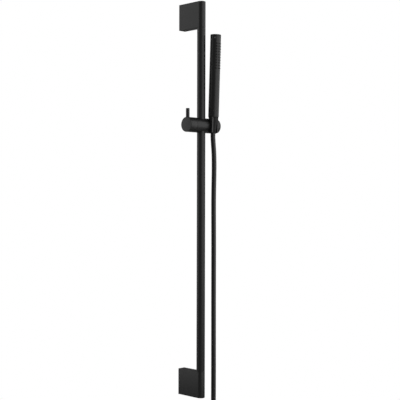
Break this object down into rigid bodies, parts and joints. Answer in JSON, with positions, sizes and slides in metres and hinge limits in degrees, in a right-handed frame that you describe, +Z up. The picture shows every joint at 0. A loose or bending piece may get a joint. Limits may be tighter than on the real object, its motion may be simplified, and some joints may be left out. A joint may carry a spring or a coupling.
{
  "type": "shower rail set",
  "caption": "Matt black wall shower rail with clamping slider, tilting cup, baton handset and smooth hose.",
  "frame": {"origin": "on the wall plane, at the middle of the lower bracket's wall face", "axes": "+Z up along the rail, +Y into the wall, +X to the right as seen from the room"},
  "size_m": [0.1497, 0.118, 1.2392],
  "materials": {
    "matt_black_metal": "satin matt black powder coat on brass and aluminium",
    "matt_black_abs": "matt black lacquered moulding",
    "hose_pvc": "smooth black vinyl with a soft satin surface",
    "black_rubber": "matt silicone and nitrile rubber",
    "black_acetal": "moulded black acetal",
    "nylon": "natural moulded nylon and acetal",
    "stainless_steel": "turned stainless steel",
    "brass_fitting": "turned brass"
  },
  "bodies": {
    "wall_set": {"rail_tube": "matt_black_metal", "lower_bracket": "matt_black_metal", "upper_bracket": "matt_black_metal", "lower_wall_plate": "stainless_steel", "upper_wall_plate": "stainless_steel", "bracket_grub_screws": "stainless_steel", "lower_spigot": "stainless_steel", "upper_spigot": "stainless_steel", "spigot_o_rings": "black_rubber", "rail_grub_screws": "stainless_steel"},
    "bushes": {"rail_bushes": "black_acetal"},
    "slider": {"slider_body": "matt_black_metal", "knob_washer": "black_acetal", "friction_disc": "black_acetal", "disc_spring": "stainless_steel", "pivot_washer": "stainless_steel", "pivot_screw": "stainless_steel"},
    "knob": {"clamp_knob": "matt_black_metal", "lever_pin": "matt_black_metal", "clamp_spindle": "stainless_steel"},
    "brake": {"brake_pad": "black_rubber"},
    "holder": {"holder_body": "matt_black_metal", "holder_cap": "matt_black_metal", "cup_liner": "black_rubber"},
    "hose_end": {"hose_insert": "brass_fitting", "hose_ferrule": "stainless_steel", "seal_washer": "black_rubber"},
    "handset": {"cone_nut": "matt_black_abs", "swivel_ring": "nylon", "inlet_fitting": "nylon", "inlet_o_ring": "black_rubber", "flow_regulator": "nylon", "water_tube": "nylon", "spray_chamber": "nylon", "nozzle_mat": "black_rubber", "handset_shell": "matt_black_abs", "end_cap": "matt_black_abs", "cap_screw": "stainless_steel"},
    "hose": {"hose_tube": "hose_pvc", "hose_hank": "hose_pvc", "hose_tail": "hose_pvc", "hank_tie": "black_rubber", "end_ferrule": "matt_black_metal", "end_insert": "brass_fitting", "end_washer": "black_rubber"},
    "supply": {"supply_nut": "matt_black_metal"}
  },
  "joints": [
    {"name": "slider_height", "type": "slide", "parent": "wall_set", "child": "bushes", "axis": [0, 0, 1], "range_m": [-0.56, 0.21]},
    {"name": "slider_swivel", "type": "hinge", "parent": "bushes", "child": "slider", "pos_m": [0, -0.067, 0.615], "axis": [0, 0, -1], "range_deg": [-40, 40]},
    {"name": "clamp_turn", "type": "hinge", "parent": "slider", "child": "knob", "pos_m": [0, -0.067, 0.615], "axis": [1, 0, 0], "range_deg": [0, 90]},
    {"name": "brake_slide", "type": "slide", "parent": "slider", "child": "brake", "axis": [-1, 0, 0], "range_m": [0, 0.0005]},
    {"name": "holder_tilt", "type": "hinge", "parent": "slider", "child": "holder", "pos_m": [0, -0.067, 0.615], "axis": [1, 0, 0], "range_deg": [-15, 35]},
    {"name": "handset_lift", "type": "slide", "parent": "holder", "child": "hose_end", "axis": [0, -0.0366, 0.9993], "range_m": [0, 0.06]},
    {"name": "handset_turn", "type": "hinge", "parent": "hose_end", "child": "handset", "pos_m": [0.0245, -0.08374, 0.6349], "axis": [0, -0.0366, 0.9993], "continuous": true},
    {"name": "hose_hang", "type": "hinge", "parent": "hose_end", "child": "hose", "pos_m": [0.0245, -0.0821, 0.5913], "axis": [1, 0, 0], "range_deg": [-36, 16]},
    {"name": "supply_turn", "type": "hinge", "parent": "hose", "child": "supply", "pos_m": [0.0245, -0.106, -0.29], "axis": [0, 0, -1], "continuous": true}
  ],
  "couplings": [
    {"joint": "brake_slide", "follows": "clamp_turn", "m_per_rad": 0.00023873},
    {"joint": "hose_hang", "follows": "holder_tilt", "ratio": -1}
  ]
}
